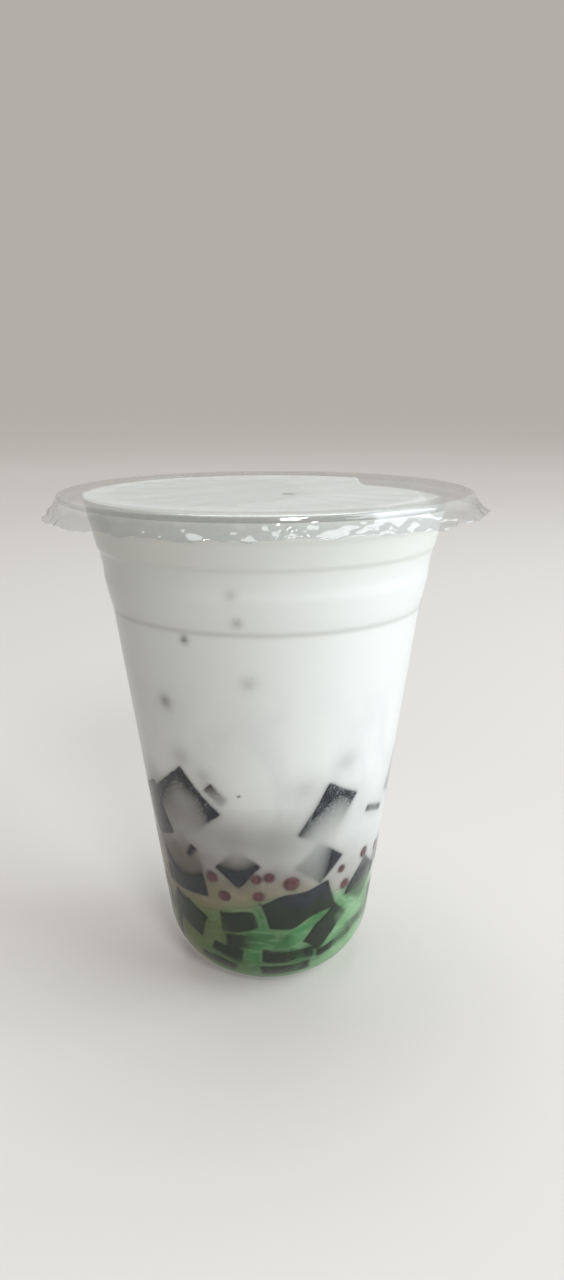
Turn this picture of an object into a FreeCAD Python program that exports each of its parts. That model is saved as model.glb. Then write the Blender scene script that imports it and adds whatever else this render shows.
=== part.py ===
"""A sealed take-away cup of iced milk drink: a thin thermoformed cup with a rolled lip, the clear
film sealed over its flange, a layer of green syrup in the rounded base and the milk above it.

Millimetres, +Z up. The origin is on the axis, at the middle of the plane that the foot stands on.
The cup is one wall section turned round the axis. The drink is whatever its inside holds up to the
fill line, parted at the top of the syrup. The film is a flat disc whose cut edge hangs over the
lip as a short crumpled skirt.
"""

import FreeCAD, Part
import math
import os
import re
import Sketcher
from FreeCAD import Placement, Rotation, Vector

SIZES = (
    # the cup
    ("cup_height", 119.0, "standing plane to the top of the flange"),
    ("rim_radius", 47.5, "outside of the rolled lip"),
    ("wall_thick", 0.6, "wall of the cup, the same all over"),
    ("flange_width", 5.36, "outside of the wall under the flange to outside of the lip"),
    ("lower_lean", 7.74, "degrees, lean of the wall below the shoulder"),
    ("upper_lean", 11.7, "degrees, lean of the wall above the shoulder"),
    ("shoulder_drop", 25.9, "flange down to the stacking shoulder"),
    ("shoulder_step", 0.72, "how far the shoulder stands out"),
    ("shoulder_rise", 2.5, "height over which it does so"),
    ("low_ring_drop", 18.6, "flange down to the ring where the wall steps in"),
    ("mid_ring_drop", 12.5, "flange down to the ring where it steps out again"),
    ("top_ring_drop", 6.9, "flange down to the faint ring under the neck"),
    ("ring_step", 0.38, "step of the low and the middle ring"),
    ("faint_step", 0.16, "step of the faint ring"),
    ("ring_rise", 0.9, "height of the steps at the middle and the faint ring"),
    ("low_ring_rise", 2.2, "height of the softer step at the low ring"),
    ("heel_radius", 18.0, "large round from the wall to the foot"),
    ("heel_sink", 2.0, "how much of that round the standing plane cuts off"),
    ("foot_width", 3.0, "flat ring that the cup stands on"),
    ("recess_depth", 1.6, "the raised middle of the base"),
    ("recess_run", 1.5, "width of the slope up to it"),
    # the lip
    ("bead_radius", 0.8, "outside radius of the rolled lip"),
    ("bead_turn", 230.0, "degrees that the lip is rolled through"),
    ("neck_round", 1.0, "round under the flange"),
    ("mouth_round", 0.5, "round at the mouth"),
    # the drink
    ("head_space", 0.6, "air between the film and the milk"),
    ("syrup_level", 24.0, "top of the green layer on the axis"),
    ("syrup_tilt", 5.0, "degrees, the green layer lies higher on the +X side"),
    # the film
    ("film_thick", 0.2, "sealing film"),
    ("film_slack", 0.12, "air between the film and the rolled lip"),
    ("skirt_drop", 4.4, "flange down to the film's cut edge"),
    ("skirt_flare", 2.9, "how far the cut edge stands out from the lip"),
    ("skirt_wave", 0.55, "height of the crumples at the cut edge"),
    ("skirt_rag", 0.55, "how unevenly the film is cut"),
)

SIDES_OF_SKIRT = 168  # points round the skirt, enough for its finest crumple
WRAP = (90.0, 45.0, 0.0)  # degrees round the lip's section where the film lies against it
HANGING = 3  # rings of the skirt below the lip
SAME = 1e-4  # mm, two places closer than this are one

doc = FreeCAD.newDocument("iced_milk_cup")
sheet = doc.addObject("Spreadsheet::Sheet", "sizes")
for row, (name, number, meaning) in enumerate(SIZES, start=1):
    sheet.set(f"A{row}", name)
    sheet.set(f"B{row}", str(number))
    sheet.set(f"C{row}", meaning)
    sheet.setAlias(f"B{row}", name)
doc.recompute()


def on_sheet(formula):
    """The formula with each size name, the words with an underscore, read from the sheet."""
    return re.sub(r"[a-z]+_[a-z_]+", lambda word: "sizes." + word.group(0), formula)


def worth(formula):
    """What a formula comes to with the sizes as they are now."""
    return float(sheet.evalExpression(on_sheet(formula)))


# ---------------------------------------------------------------- the wall section

SHOULDER_Z = "(cup_height - shoulder_drop)"
WAIST = (  # outside of the wall just under the shoulder, leaning in from the flange
    "(rim_radius - flange_width - faint_step - shoulder_step"
    " - (shoulder_drop - shoulder_rise - wall_thick) * tan(upper_lean))"
)
HEEL_Z = "(heel_radius - heel_sink)"
HEEL_X = (
    f"({WAIST} - ({SHOULDER_Z} - {HEEL_Z}) * tan(lower_lean)"
    " - heel_radius / cos(lower_lean))"
)
FOOT_OUTSIDE = f"({HEEL_X} + sqrt(heel_radius ^ 2 - {HEEL_Z} ^ 2))"
FOOT_INSIDE = f"({FOOT_OUTSIDE} - foot_width)"
BEAD_X = "(rim_radius - bead_radius)"
BEAD_Z = "(cup_height - bead_radius)"
RINGS = (  # height below the flange, the step outwards there, and its height
    ("low_ring_drop", "- ring_step", "low_ring_rise"),
    ("mid_ring_drop", "+ ring_step", "ring_rise"),
    ("top_ring_drop", "+ faint_step", "ring_rise"),
)


def upper_wall(height, inset, steps):
    """Radius of the leaning upper wall, inset from its outside, after these steps."""
    return (
        f"{WAIST} + shoulder_step {' '.join(steps)} - {inset} / cos(upper_lean)"
        f" + ({height} - {SHOULDER_Z} - shoulder_rise) * tan(upper_lean)"
    )


def base_and_side(inset, top):
    """The cup from the middle of its base up to the height top, as corners (radius, height,
    radius of the arc that leads to the corner or None). inset is how far inside the outer face
    the line runs: 0 on the outside, wall_thick on the inside."""
    corners = [
        ("0", f"recess_depth + {inset}", None),
        (f"{FOOT_INSIDE} - recess_run", f"recess_depth + {inset}", None),
        (FOOT_INSIDE, inset, None),
    ]
    heel = f"(heel_radius - {inset})"
    corners.append((f"{HEEL_X} + sqrt({heel} ^ 2 - ({HEEL_Z} - {inset}) ^ 2)", inset, None))
    corners.append(
        (f"{HEEL_X} + {heel} * cos(lower_lean)", f"{HEEL_Z} - {heel} * sin(lower_lean)", heel)
    )
    corners.append((f"{WAIST} - {inset} / cos(lower_lean)", SHOULDER_Z, None))
    corners.append(
        (f"{WAIST} + shoulder_step - {inset} / cos(upper_lean)",
         f"{SHOULDER_Z} + shoulder_rise", None)
    )
    steps = []
    for drop, step, rise in RINGS:
        height = f"(cup_height - {drop})"
        corners.append((upper_wall(height, inset, steps), height, None))
        steps.append(step)
        above = f"({height} + {rise})"
        corners.append((upper_wall(above, inset, steps), above, None))
    corners.append((upper_wall(top, inset, steps), top, None))
    return corners


def rolled_lip():
    """The flange's underside, the lip rolled down and in from its edge, and the top again."""
    inner = "(bead_radius - wall_thick)"
    under = "cup_height - wall_thick"

    def at_the_end(radius):
        return (
            f"{BEAD_X} + {radius} * cos(90 - bead_turn)",
            f"{BEAD_Z} + {radius} * sin(90 - bead_turn)",
        )

    return [
        (BEAD_X, under, None),
        (*at_the_end(inner), f"-{inner}"),
        (*at_the_end("bead_radius"), None),
        (BEAD_X, "cup_height", "bead_radius"),
    ]


def backwards(corners):
    """The same line drawn the other way: an arc belongs to the corner that it leads to."""
    leads = [None] + [corner[2] for corner in corners[:0:-1]]
    turned = [None if lead is None else f"-{lead}" for lead in leads]
    return [(x, z, lead) for (x, z, _), lead in zip(reversed(corners), turned)]


def arc_between(start, end, radius):
    """The arc from start to end, turning left for a positive radius and right for a negative
    one. It is more than half a turn only where the rolled lip asks for it."""
    chord = end - start
    middle = (start + end) * 0.5
    rise = math.sqrt(max(radius**2 - (chord.Length / 2) ** 2, 0.0))
    left = Vector(-chord.y, chord.x, 0).normalize()
    long_way = abs(radius) <= worth("bead_radius") + 1e-9 and worth("bead_turn") > 180
    centre = middle + left * rise * math.copysign(1, radius) * (-1 if long_way else 1)
    first = math.atan2(start.y - centre.y, start.x - centre.x)
    last = math.atan2(end.y - centre.y, end.x - centre.x)
    if radius < 0:
        first, last = last, first
    circle = Part.Circle(centre, Vector(0, 0, 1), abs(radius))
    return Part.ArcOfCircle(circle, first, last if last > first else last + 2 * math.pi)


X_AXIS, Z_AXIS = -1, -2  # a sketch's own axes: the standing plane and the cup's axis


def dimension(sketch, kind, piece, end, number, formula):
    """A distance from the sketch's origin, held by a formula on the sheet."""
    index = sketch.addConstraint(Sketcher.Constraint(kind, X_AXIS, 1, piece, end, number))
    sketch.setExpression(f"Constraints[{index}]", on_sheet(formula))


def turned_body(label, corners):
    """A body made by turning a closed outline round the Z axis. Each corner of the outline is
    dimensioned from the axis and the standing plane by its own formula on the sheet."""
    body = doc.addObject("PartDesign::Body", label)
    body.Label = label
    sketch = body.newObject("Sketcher::SketchObject", label + "_section")
    plane = next(f for f in body.Origin.OriginFeatures if f.Role == "XZ_Plane")
    sketch.AttachmentSupport = [(plane, "")]
    sketch.MapMode = "FlatFace"
    doc.recompute()

    spots = [Vector(worth(x), worth(z), 0) for x, z, _ in corners]
    ends = []  # for each piece of the outline, which of its ends is its start and its finish
    for index, spot in enumerate(spots):
        following = (index + 1) % len(spots)
        lead = corners[following][2]
        if lead is None:
            sketch.addGeometry(Part.LineSegment(spot, spots[following]), False)
            ends.append((1, 2))
        else:
            radius = worth(lead)
            sketch.addGeometry(arc_between(spot, spots[following], radius), False)
            ends.append((1, 2) if radius > 0 else (2, 1))
    for index, (x, z, _) in enumerate(corners):
        before = (index - 1) % len(corners)
        start = ends[index][0]
        sketch.addConstraint(
            Sketcher.Constraint("Coincident", before, ends[before][1], index, start)
        )
        if x == "0":
            sketch.addConstraint(Sketcher.Constraint("PointOnObject", index, start, Z_AXIS))
        else:
            dimension(sketch, "DistanceX", index, start, spots[index].x, x)
        if z == "0":
            sketch.addConstraint(Sketcher.Constraint("PointOnObject", index, start, X_AXIS))
        else:
            dimension(sketch, "DistanceY", index, start, spots[index].y, z)
        lead = corners[(index + 1) % len(corners)][2]
        if lead is not None:
            number = sketch.addConstraint(
                Sketcher.Constraint("Radius", index, abs(worth(lead)))
            )
            sketch.setExpression(f"Constraints[{number}]", on_sheet(lead.lstrip("-")))
    doc.recompute()

    turn = body.newObject("PartDesign::Revolution", label + "_turned")
    turn.Profile = sketch
    turn.ReferenceAxis = (sketch, ["V_Axis"])
    turn.Angle = 360.0
    body.Tip = turn
    doc.recompute()
    return body


def circle_at(shape, radius, height):
    """Name of the shape's circular edge of this radius at this height."""
    for number, edge in enumerate(shape.Edges, start=1):
        curve = edge.Curve
        if not isinstance(curve, Part.Circle):
            continue
        if abs(curve.Radius - radius) < SAME and abs(curve.Center.z - height) < SAME:
            return f"Edge{number}"
    raise RuntimeError(f"no round edge of radius {radius:.3f} at height {height:.3f}")


def rounded(body, label, size, corner):
    """Rounds a turned body along the circle that a corner of its outline made."""
    last = body.Tip
    edge = circle_at(last.Shape, worth(corner[0]), worth(corner[1]))
    fillet = body.newObject("PartDesign::Fillet", label)
    fillet.Base = (last, [edge])
    fillet.setExpression("Radius", on_sheet(size))
    body.Tip = fillet
    doc.recompute()


# ---------------------------------------------------------------- cup

UNDER_FLANGE = "(cup_height - wall_thick)"
outside = base_and_side("0", UNDER_FLANGE)
inside = base_and_side("wall_thick", "cup_height")
cup = turned_body("cup", outside + rolled_lip() + backwards(inside))
rounded(cup, "neck_fillet", "neck_round", outside[-1])
rounded(cup, "mouth_fillet", "mouth_round", inside[-1])

# ---------------------------------------------------------------- drink

FILL_Z = "(cup_height - head_space)"
halfway = base_and_side("(wall_thick / 2)", FILL_Z)
drink_blank = turned_body("drink_blank", halfway + [("0", FILL_Z, None)])

drink = doc.addObject("Part::Cut", "drink")  # the blank reaches into the wall, and the cup cuts it
drink.Base = drink_blank
drink.Tool = cup

syrup_zone = doc.addObject("Part::Cylinder", "syrup_zone")  # all that lies under the green's top
syrup_zone.setExpression("Radius", on_sheet("rim_radius"))
syrup_zone.setExpression("Height", on_sheet("rim_radius + syrup_level"))
syrup_zone.Placement = Placement(Vector(), Rotation(Vector(0, -1, 0), 1))
syrup_zone.setExpression("Placement.Rotation.Angle", on_sheet("syrup_tilt * 1 deg"))
syrup_zone.setExpression(
    "Placement.Base.x", on_sheet("(rim_radius + syrup_level) * sin(syrup_tilt) * 1 mm")
)
syrup_zone.setExpression(
    "Placement.Base.z",
    on_sheet("(syrup_level - (rim_radius + syrup_level) * cos(syrup_tilt)) * 1 mm"),
)

green_syrup = doc.addObject("Part::Common", "green_syrup")
green_syrup.Base = drink
green_syrup.Tool = syrup_zone
milk = doc.addObject("Part::Cut", "milk")
milk.Base = drink
milk.Tool = syrup_zone
doc.recompute()

# ---------------------------------------------------------------- film


def crumple(turn):
    """Sideways wave of the skirt at an angle, from -1 to 1: three uneven waves added."""
    wide = 0.42 * math.sin(9 * turn + 0.6)
    middling = 0.36 * math.sin(17 * turn + 2.1)
    return wide + middling + 0.22 * math.sin(28 * turn + 4.0)


def rag(turn):
    """Height of the cut edge at an angle, from -1 to 1: the film is never cut quite round."""
    return 0.4 * math.sin(2 * turn + 0.8) + 0.35 * math.sin(11 * turn) + 0.25 * math.sin(
        25 * turn + 1.3
    )


def skirt_ring(outward, level):
    """A closed curve round the film. The first levels wrap the rolled lip from its top to its
    side, and the rest leave it for the cut edge, with crumples that grow on the way."""
    top = worth("cup_height")
    bead = worth("bead_radius")
    centre_x, centre_z = worth(BEAD_X), worth(BEAD_Z)
    side_of_lip = centre_x + bead + worth("film_slack") + outward
    points = []
    for side in range(SIDES_OF_SKIRT):
        turn = 2 * math.pi * side / SIDES_OF_SKIRT
        if level < len(WRAP):
            angle = math.radians(WRAP[level])
            reach = bead + worth("film_slack") * level / (len(WRAP) - 1) + outward
            radius = centre_x + reach * math.cos(angle)
            height = centre_z + reach * math.sin(angle)
        else:
            share = (level - len(WRAP) + 1) / HANGING
            flare = worth("skirt_flare") * share
            radius = side_of_lip + flare + worth("skirt_wave") * share * crumple(turn)
            depth = worth("skirt_drop") - worth("skirt_rag") * rag(turn)
            height = centre_z + (top - depth - centre_z) * share
        points.append(Vector(radius * math.cos(turn), radius * math.sin(turn), height))
    curve = Part.BSplineCurve()
    curve.interpolate(Points=points, PeriodicFlag=True)
    return Part.Wire([curve.toShape()])


def film():
    """Top and underside of the film, each a disc with its skirt, joined along the cut edge."""
    levels = range(len(WRAP) + HANGING)
    outer = [skirt_ring(worth("film_thick"), level) for level in levels]
    inner = [skirt_ring(0.0, level) for level in levels]
    faces = [Part.Face(outer[0]), Part.Face(inner[0])]
    faces += Part.makeLoft(outer, False, False).Faces
    faces += Part.makeLoft(inner, False, False).Faces
    faces += Part.makeRuledSurface(outer[-1], inner[-1]).Faces
    shell = Part.makeShell(faces)
    shell.sewShape()
    solid = Part.makeSolid(shell.Shells[0])
    if solid.Volume < 0:
        solid.reverse()
    return solid


film_lid = doc.addObject("Part::Feature", "film_lid")
film_lid.Shape = film()
film_lid.Placement = Placement()
doc.recompute()

# ---------------------------------------------------------------- export

PARTS = (cup, milk, green_syrup, film_lid)
for part in PARTS:
    part.Label = part.Name
for thing in doc.Objects:
    if "Invalid" in thing.State or "Error" in thing.State:
        raise RuntimeError(f"{thing.Name} failed: {thing.State}")
for part in PARTS:
    if part.Shape.isNull() or not part.Shape.isValid() or part.Shape.Volume <= 0:
        raise RuntimeError(f"{part.Name} has no valid solid")

os.makedirs("parts", exist_ok=True)
for part in PARTS:
    part.Shape.exportStep(f"parts/{part.Label}.step")
    box = part.Shape.BoundBox
    print(
        f"{part.Label:12s} {len(part.Shape.Solids)} solid, {part.Shape.Volume / 1000:8.2f} cm3,"
        f" z {box.ZMin:.2f} to {box.ZMax:.2f}, across {box.XLength:.2f}"
    )
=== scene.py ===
# %% [markdown]
# # A sealed cup of iced milk drink with jelly
# A thin clear cup holds a milk drink over a layer of green syrup. Dark jelly cubes and small red
# pearls crowd the bottom half, and a clear film is sealed over the lip. The packed model gives
# the size and place of each piece. This lesson makes how they look.

# %% The packed model
import math

import bpy
import numpy as np
from mathutils import Euler, Matrix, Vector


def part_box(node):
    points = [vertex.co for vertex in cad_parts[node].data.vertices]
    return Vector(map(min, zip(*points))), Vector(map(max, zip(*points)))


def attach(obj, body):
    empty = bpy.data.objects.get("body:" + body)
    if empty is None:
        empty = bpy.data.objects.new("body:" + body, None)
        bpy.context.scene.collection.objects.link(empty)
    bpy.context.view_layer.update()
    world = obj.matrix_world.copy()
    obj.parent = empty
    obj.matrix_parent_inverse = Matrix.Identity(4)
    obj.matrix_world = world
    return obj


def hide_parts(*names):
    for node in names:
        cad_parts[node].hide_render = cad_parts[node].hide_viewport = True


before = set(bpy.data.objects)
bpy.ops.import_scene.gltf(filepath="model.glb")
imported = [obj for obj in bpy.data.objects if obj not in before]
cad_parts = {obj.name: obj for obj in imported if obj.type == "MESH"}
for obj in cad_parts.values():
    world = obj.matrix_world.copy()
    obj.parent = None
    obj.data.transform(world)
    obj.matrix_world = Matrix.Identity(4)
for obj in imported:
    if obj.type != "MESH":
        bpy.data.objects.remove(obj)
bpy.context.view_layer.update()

print("nodes:", sorted(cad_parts))

# %% [markdown]
# ## Sizes
# The cup's height, its lip, the fill line and the slope of the syrup are read from the packed
# pieces. What lies between them, such as a ring in the wall, has a size of its own. Sizes are in
# millimetres here and turn into metres only where a mesh is made.

# %% Sizes of the cup
MM = 0.001
CUP_HEIGHT, RIM_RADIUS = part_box("cup")[1].z / MM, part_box("cup")[1].x / MM
FILL_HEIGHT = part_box("milk")[1].z / MM
SYRUP_HIGH, SYRUP_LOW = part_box("green_syrup")[1].z / MM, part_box("milk")[0].z / MM

WALL = 0.6  # thickness of the plastic
LOWER_LEAN, UPPER_LEAN = math.radians(7.74), math.radians(11.7)  # below and above the shoulder
SHOULDER_HEIGHT, SHOULDER_STEP, SHOULDER_RISE = CUP_HEIGHT - 25.9, 0.72, 2.5
FLANGE_WIDTH = 5.36  # from the top of the wall out to the edge of the lip
# rings: how far below the lip, the step outwards, and the height of the step
RINGS = ((18.6, -0.38, 2.2), (12.5, 0.38, 0.9), (6.9, 0.16, 0.9))
HEEL, HEEL_SINK = 18.0, 2.0  # radius of the rounded heel, and how much of it is cut off flat
FOOT_WIDTH = 3.0  # the ring that the cup stands on
RECESS_DEPTH, RECESS_RUN = 1.6, 1.5  # the raised middle of the base, and its slope
BEAD = 0.8  # radius of the rolled edge
SKIN_INSET = 0.35  # the drink reaches this near to the outside of the wall, so no air shows

WAIST = (
    RIM_RADIUS - FLANGE_WIDTH - RINGS[2][1] - SHOULDER_STEP
    - (CUP_HEIGHT - SHOULDER_HEIGHT - SHOULDER_RISE - WALL) * math.tan(UPPER_LEAN)
)
HEEL_Z = HEEL - HEEL_SINK
HEEL_X = (
    WAIST - (SHOULDER_HEIGHT - HEEL_Z) * math.tan(LOWER_LEAN) - HEEL / math.cos(LOWER_LEAN)
)
print(f"height {CUP_HEIGHT:.1f}, lip {RIM_RADIUS:.1f}, waist {WAIST:.2f}, fill {FILL_HEIGHT:.1f}")

# %% [markdown]
# ## The wall as a line
# A cup like this is one warm sheet drawn into a mould, so its wall is one line turned round the
# axis, with every corner a little soft. The line is built from straight runs and arcs, cut into
# even steps, and smoothed by averaging neighbours, which rounds a corner just as a mould does.

# %% Lines and arcs
STEP = 0.1  # mm between points of a fine line


def run(start, end):
    """Points from start to end: start + t (end - start), t in even steps."""
    start, end = np.array(start, float), np.array(end, float)
    count = max(2, int(np.hypot(*(end - start)) / STEP))
    return start + (end - start) * np.linspace(0, 1, count)[:, None]


def bow(centre, radius, first, last):
    """Points of an arc: centre + radius (cos a, sin a), a from first to last in radians."""
    count = max(3, int(abs(radius * (last - first)) / STEP))
    angle = np.linspace(first, last, count)
    return np.array(centre) + radius * np.stack([np.cos(angle), np.sin(angle)], 1)


def length_along(line):
    """Distance walked along a line at each of its points: the sum of its steps."""
    return np.concatenate([[0], np.cumsum(np.hypot(*np.diff(line, axis=0).T))])


def softened(line, reach):
    """The line in even steps, each point the average of its neighbours within reach, twice.
    Past an end the line goes on as its own mirror image, so that the ends stay put."""
    walked = length_along(line)
    even = np.linspace(0, walked[-1], int(walked[-1] / STEP))
    line = np.stack([np.interp(even, walked, line[:, k]) for k in (0, 1)], 1)
    half = max(1, round(reach / STEP))
    window = np.ones(2 * half + 1) / (2 * half + 1)
    for _ in range(2):
        before = 2 * line[0] - line[half:0:-1]
        after = 2 * line[-1] - line[-2:-half - 2:-1]
        longer = np.concatenate([before, line, after])
        line = np.stack([np.convolve(longer[:, k], window, "valid") for k in (0, 1)], 1)
    return line


quarter = bow((0, 0), 1, 0, math.pi / 2)
print(f"a quarter turn of radius 1 is {length_along(quarter)[-1]:.3f} long")

# %% The wall line
def wall_corners(inset, top):
    """Corners of the leaning wall from the heel's end up to the height top, this far inside."""
    low, high = inset / math.cos(LOWER_LEAN), inset / math.cos(UPPER_LEAN)
    foot = WAIST + SHOULDER_STEP - high
    start = SHOULDER_HEIGHT + SHOULDER_RISE
    corners = [(WAIST - low, SHOULDER_HEIGHT), (foot, start)]
    for drop, step, rise in RINGS:
        height = CUP_HEIGHT - drop
        for stepped in (0, 1):
            lift = height + stepped * rise
            foot += stepped * step
            corners.append((foot + (lift - start) * math.tan(UPPER_LEAN), lift))
    corners.append((foot + (top - start) * math.tan(UPPER_LEAN), top))
    return corners


def wall_line(inset, top):
    """The cup's section from the middle of its base out and up to a height, this far inside."""
    heel = HEEL - inset
    contact = HEEL_X + math.sqrt(heel ** 2 - (HEEL_Z - inset) ** 2)
    foot = HEEL_X + math.sqrt(HEEL ** 2 - HEEL_Z ** 2) - FOOT_WIDTH
    middle = RECESS_DEPTH + inset
    low = -math.asin((HEEL_Z - inset) / heel)
    base = [run((0, middle), (foot - RECESS_RUN, middle)),
            run((foot - RECESS_RUN, middle), (foot, inset)),
            run((foot, inset), (contact, inset)),
            bow((HEEL_X, HEEL_Z), heel, low, -LOWER_LEAN)]
    corners = [tuple(base[-1][-1])] + wall_corners(inset, top)
    side = [run(a, b) for a, b in zip(corners, corners[1:])]
    return np.concatenate(base + side)


print(f"the wall line is {length_along(wall_line(0, CUP_HEIGHT))[-1]:.1f} long")

# %% [markdown]
# ## From a line to a surface
# A line of (radius, height) is turned round the axis on a grid: one row for each point of the
# line and one column for each direction. Direction 0 is the front of the cup, and it grows to
# the right. A line that starts and ends on the axis closes with a single point at each end.

# %% Grids
def turned(line, columns):
    """Grid of points x = r sin a, y = -r cos a, z = h, for each (r, h) and direction a."""
    a = np.arange(columns) * 2 * math.pi / columns
    radius, height = line[:, :1], line[:, 1:]
    return np.stack([radius * np.sin(a), -radius * np.cos(a), height + 0 * a], -1)


def grid_faces(rows, columns):
    """Corner numbers of the four-sided faces of a grid that closes round its columns."""
    row, column = np.meshgrid(np.arange(rows - 1), np.arange(columns), indexing="ij")
    beside = (column + 1) % columns
    corners = (row, column), (row, beside), (row + 1, beside), (row + 1, column)
    return np.stack([r * columns + c for r, c in corners], -1).reshape(-1, 4)


print("a grid of 3 rows and 3 columns has the faces", grid_faces(3, 3).tolist())

# %% Meshes
def linked(name, data):
    """An object that holds this data, linked into the scene."""
    made = bpy.data.objects.new(name, data)
    bpy.context.scene.collection.objects.link(made)
    return made


def meshed(name, points, corners):
    """A mesh object of points in mm and a list of the corner numbers of each face."""
    mesh = bpy.data.meshes.new(name)
    mesh.from_pydata(points * MM, [], corners)
    return linked(name, mesh)


def put(name, points, faces):
    """A mesh object of these points (mm) and lists of faces, all seen from outside: the faces
    turn round where the volume that they enclose comes out negative."""
    triangles = np.concatenate([some[:, [0, k, k + 1]] for some in faces
                                for k in range(1, some.shape[1] - 1)])
    corners = points[triangles]
    volume = np.einsum("ij,ij->i", corners[:, 0], np.cross(corners[:, 1], corners[:, 2])).sum()
    flat = [list(f) for some in faces for f in (some if volume > 0 else some[:, ::-1]).tolist()]
    piece = meshed(name, points, flat)
    piece.data.shade_smooth()
    print(f"{name}: {len(points)} points, {len(triangles)} triangles, {abs(volume) / 6e3:.2f} cm3")
    return piece


def capped(grid):
    """Points and faces of a grid whose first and last rows each close on one point."""
    rows, columns, _ = grid.shape
    inner = grid[1:-1].reshape(-1, 3)
    points = np.concatenate([inner, grid[:1, 0], grid[-1:, 0]])
    ring = np.arange(columns)
    beside = (ring + 1) % columns
    last = (rows - 3) * columns
    bottom = np.stack([beside, ring, 0 * ring + len(inner)], 1)
    top = np.stack([last + ring, last + beside, 0 * ring + len(inner) + 1], 1)
    return points, [grid_faces(rows - 2, columns), bottom, top]


def note(piece, name, values):
    """Writes one number for each point of a piece, for its material to read."""
    attribute = piece.data.attributes.new(name, "FLOAT", "POINT")
    attribute.data.foreach_set("value", np.ascontiguousarray(values, np.float32))


print("a capped grid of 4 rows and 5 columns has", len(capped(np.zeros((4, 5, 3)))[0]), "points")

# %% Pace along a line
def paced(line, far, bend=0.12):
    """Picks places along a fine line, as distances walked: at most far apart, and closer where
    the line turns, one for each bend radians. far is one number or one for each point."""
    walked = length_along(line)
    heading = np.unwrap(np.arctan2(*np.gradient(line, axis=0).T[::-1]))
    pace = np.cumsum(np.gradient(walked) / far + np.abs(np.gradient(heading)) / bend)
    even = np.linspace(pace[0], pace[-1], int(pace[-1] - pace[0]) + 2)
    return np.interp(even, pace, walked)


def picked(line, walked):
    """The points of a line at these distances along it."""
    own = length_along(line)
    return np.stack([np.interp(walked, own, line[:, k]) for k in (0, 1)], 1)


outside = softened(wall_line(0, CUP_HEIGHT), 0.25)
print("rows for the outside of the wall, at most 2 mm apart:", len(paced(outside, 2.0)))

# %% [markdown]
# ## Places on the wall
# Jelly and pearls lie against the inside of the wall, so it helps to name a place there by its
# direction round the cup and its height. The skin of the drink is the surface that the drink
# shows through the wall. At each place on it three directions matter: out of the cup, sideways
# to the right, and up along the wall.

# %% The skin's own line
skin_line = softened(wall_line(SKIN_INSET, FILL_HEIGHT), 0.35)
skin_walked = length_along(skin_line)
along = np.gradient(skin_line, axis=0)
along /= np.hypot(*along.T)[:, None]
standing = np.flatnonzero(skin_line[:, 1] < SKIN_INSET + 0.02)[-1]  # where the heel lifts off


def walked_to(height):
    """Distance along the skin's line, from the middle of the base, to a height on the side."""
    return np.interp(height, skin_line[standing:, 1], skin_walked[standing:])


def on_skin(direction, walked, proud=0.0):
    """Points on the skin, and their outward, sideways and upward unit vectors. The point is
    r(w) (sin a, -cos a) and z(w), moved outward by proud."""
    radius, height, up_r, up_z = (
        np.interp(walked, skin_walked, values) for values in (*skin_line.T, *along.T)
    )
    sine, cosine = np.sin(direction), np.cos(direction)
    outward = np.stack([up_z * sine, -up_z * cosine, -up_r + 0 * sine], -1)
    sideways = np.stack([cosine, sine, 0 * (sine + radius)], -1)
    upward = np.stack([up_r * sine, -up_r * cosine, up_z + 0 * sine], -1)
    point = np.stack([radius * sine, -radius * cosine, height + 0 * sine], -1)
    return point + proud * outward, outward, sideways, upward


print(f"the skin's line is {skin_walked[-1]:.1f} long, flat to {skin_line[standing, 0]:.1f}")

# %% [markdown]
# ## Unevenness
# Nothing poured or cut by hand is quite even. Two small helpers stand for that: a smooth scatter
# made of a few long waves, and a soft step from 0 to 1. Waves are used rather than single random
# numbers because neighbouring points have to agree.

# %% Unevenness
def swirl(points, size, seed):
    """Smooth unevenness, mostly from -1 to 1: a sum of ten waves of about this size that run
    in random directions."""
    dice = np.random.default_rng(seed)
    heading = dice.normal(size=(10, 3))
    heading /= np.linalg.norm(heading, axis=1)[:, None]
    pace = 2 * math.pi / (size * dice.uniform(0.6, 1.7, 10))
    return np.sin(points @ (heading * pace[:, None]).T + dice.uniform(0, 6.3, 10)).sum(-1) / 3


def eased(values, low, high):
    """0 below low, 1 above high, and s s (3 - 2 s) between."""
    share = np.clip((values - low) / (high - low), 0, 1)
    return share * share * (3 - 2 * share)


print("a swirl along the axis:", swirl(np.arange(5)[:, None] * (0, 0, 5), 10, 1).round(2))

# %% [markdown]
# ## Where the jelly lies
# Each cube is cut by hand from a sheet of dark jelly, so no two are alike, and the weight of the
# drink presses some of them flat against the wall. A cube is told by its place, its three sizes,
# how it is turned against the wall, and how far it is pressed into it. Those at the front are
# placed one by one, and the rest follow the same crowding by chance.

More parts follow.
